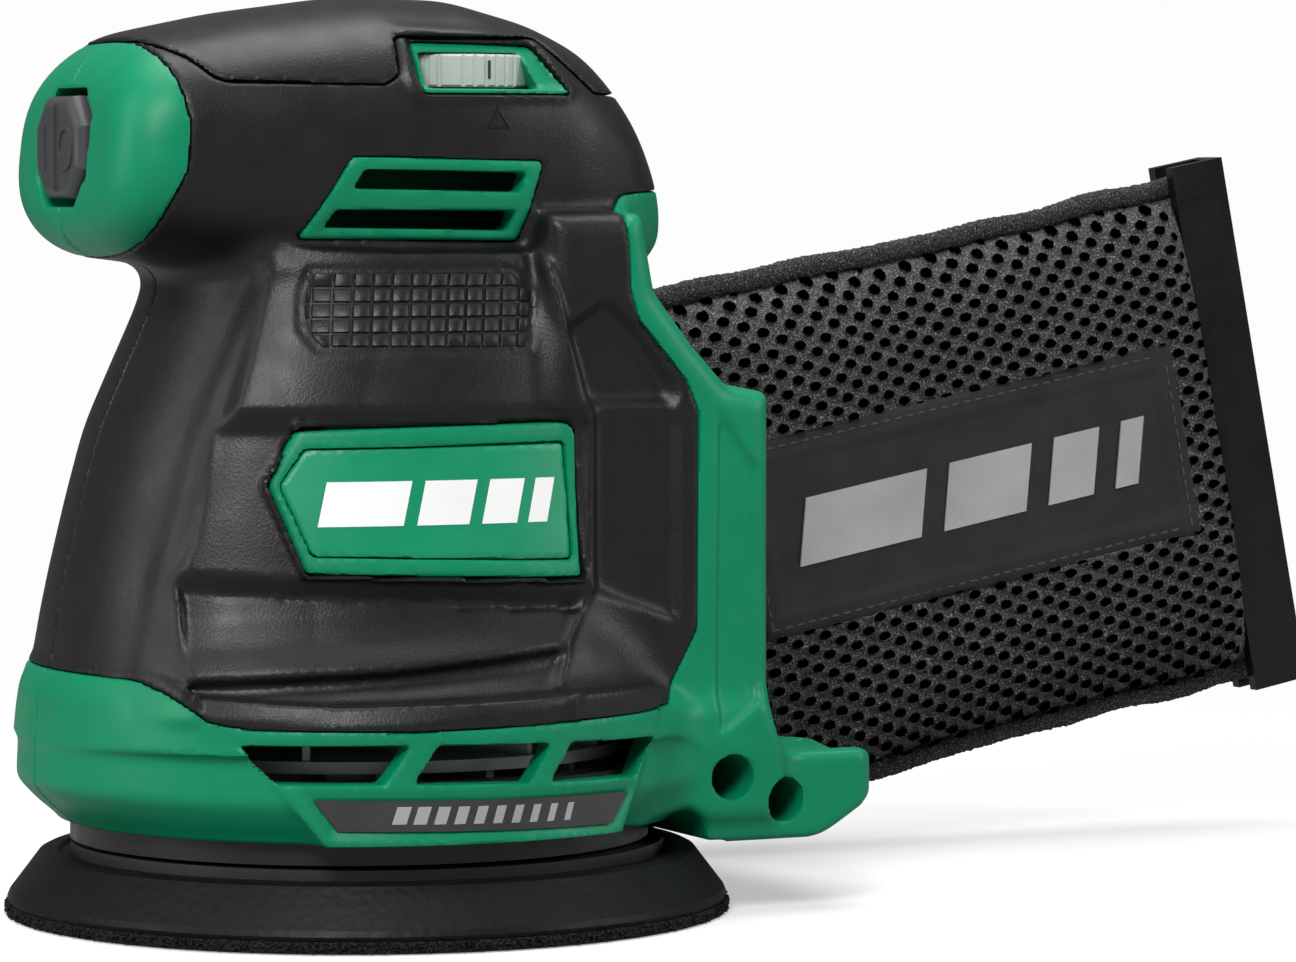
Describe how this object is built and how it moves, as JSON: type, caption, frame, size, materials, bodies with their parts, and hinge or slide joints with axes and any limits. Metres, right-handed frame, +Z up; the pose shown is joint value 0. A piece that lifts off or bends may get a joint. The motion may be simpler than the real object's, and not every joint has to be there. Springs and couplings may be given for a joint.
{
  "type": "cordless random orbit palm sander",
  "caption": "Palm-grip cordless disc sander with round hook-and-loop pad, nose switch, speed dial, battery dock and a side-mounted mesh dust bag.",
  "frame": {"origin": "motor axis at the pad's working face", "axes": "+Z up along the motor axis, -X towards the switch nose, +X towards the battery dock and bag, -Y the side of the speed dial, +Y the side of the dust outlet"},
  "size_m": [0.2824, 0.1314, 0.1579],
  "materials": {
    "green_shell": "fine moulded texture, satin",
    "soft_grip": "soft overmould, leather grain",
    "label_strip": "printed strip",
    "nameplate_green": "recessed plate with light marks",
    "switch_rubber": "smooth soft cap",
    "black_plastic": "moulded",
    "gloss_black": "glossy extrusion",
    "dial_plastic": "pale grey",
    "steel": "turned and ground",
    "laminated_steel": "stacked laminations",
    "copper": "enamelled copper",
    "magnet": "sintered",
    "aluminium": "die cast",
    "board_green": "solder mask",
    "terminal_brass": "stamped",
    "pad_rubber": "moulded foam rubber",
    "hook_nylon": "short hooks",
    "glass_nylon": "glass-filled",
    "skirt_rubber": "moulded",
    "bag_mesh": "spacer mesh with oval holes",
    "patch_satin": "woven satin with stitching"
  },
  "bodies": {
    "tool": {"housing_left": "green_shell", "housing_right": "green_shell", "grip_left": "soft_grip", "grip_right": "soft_grip", "palm_pad": "soft_grip", "series_label_left": "label_strip", "series_label_right": "label_strip", "nameplate_left": "nameplate_green", "nameplate_right": "nameplate_green", "housing_screws": "steel", "switch_body": "black_plastic", "switch_tabs": "terminal_brass", "rocker_pin": "steel", "speed_potentiometer": "black_plastic", "dial_board": "board_green", "motor_stator": "laminated_steel", "stator_windings": "copper", "motor_bracket": "aluminium", "motor_end_cap": "aluminium", "end_cap_screws": "steel", "motor_bearing_lower": "steel", "motor_bearing_upper": "steel", "controller_tray": "black_plastic", "controller_board": "board_green", "board_components": "black_plastic", "terminal_block": "black_plastic", "terminal_blades": "terminal_brass", "battery_leads": "skirt_rubber", "motor_leads": "skirt_rubber", "pad_brake_ring": "skirt_rubber", "fan_shroud": "black_plastic", "dust_outlet": "black_plastic", "outlet_seal": "skirt_rubber"},
    "rotor": {"motor_shaft": "steel", "rotor_magnets": "magnet", "rotor_core": "laminated_steel", "fan": "glass_nylon", "counterweight": "steel", "eccentric_hub": "steel", "drive_screw": "steel", "pad_bearing_lower": "steel", "pad_bearing_upper": "steel", "bearing_clip": "steel"},
    "pad": {"hook_sheet": "hook_nylon", "pad_foam": "pad_rubber", "backing_plate": "glass_nylon", "pad_spindle": "steel", "pad_screws": "steel"},
    "dial": {"speed_dial": "dial_plastic", "dial_spindle": "steel"},
    "rocker": {"switch_cap": "switch_rubber", "rocker_arm": "black_plastic"},
    "bag": {"bag_collar": "black_plastic", "collar_band": "black_plastic", "dust_bag": "bag_mesh", "bag_patch": "patch_satin"},
    "clip": {"bag_clip": "gloss_black"}
  },
  "joints": [
    {"name": "motor_spin", "type": "hinge", "parent": "tool", "child": "rotor", "pos_m": [0, 0, 0.06], "axis": [0, 0, 1], "continuous": true},
    {"name": "pad_spin", "type": "hinge", "parent": "rotor", "child": "pad", "pos_m": [0.0015, 0, 0.02], "axis": [0, 0, 1], "continuous": true},
    {"name": "dial_turn", "type": "hinge", "parent": "tool", "child": "dial", "pos_m": [0.01, -0.0145, 0.142], "axis": [0, 0, 1], "range_deg": [0, 250]},
    {"name": "switch_rock", "type": "hinge", "parent": "tool", "child": "rocker", "pos_m": [-0.045, 0, 0.132], "axis": [0, 0, -1], "range_deg": [0, 5]},
    {"name": "bag_pull", "type": "slide", "parent": "tool", "child": "bag", "axis": [0.9816, 0, 0.1908], "range_m": [0, 0.03]},
    {"name": "clip_slide", "type": "slide", "parent": "bag", "child": "clip", "axis": [-0.1908, 0, 0.9816], "range_m": [0, 0.1]}
  ]
}
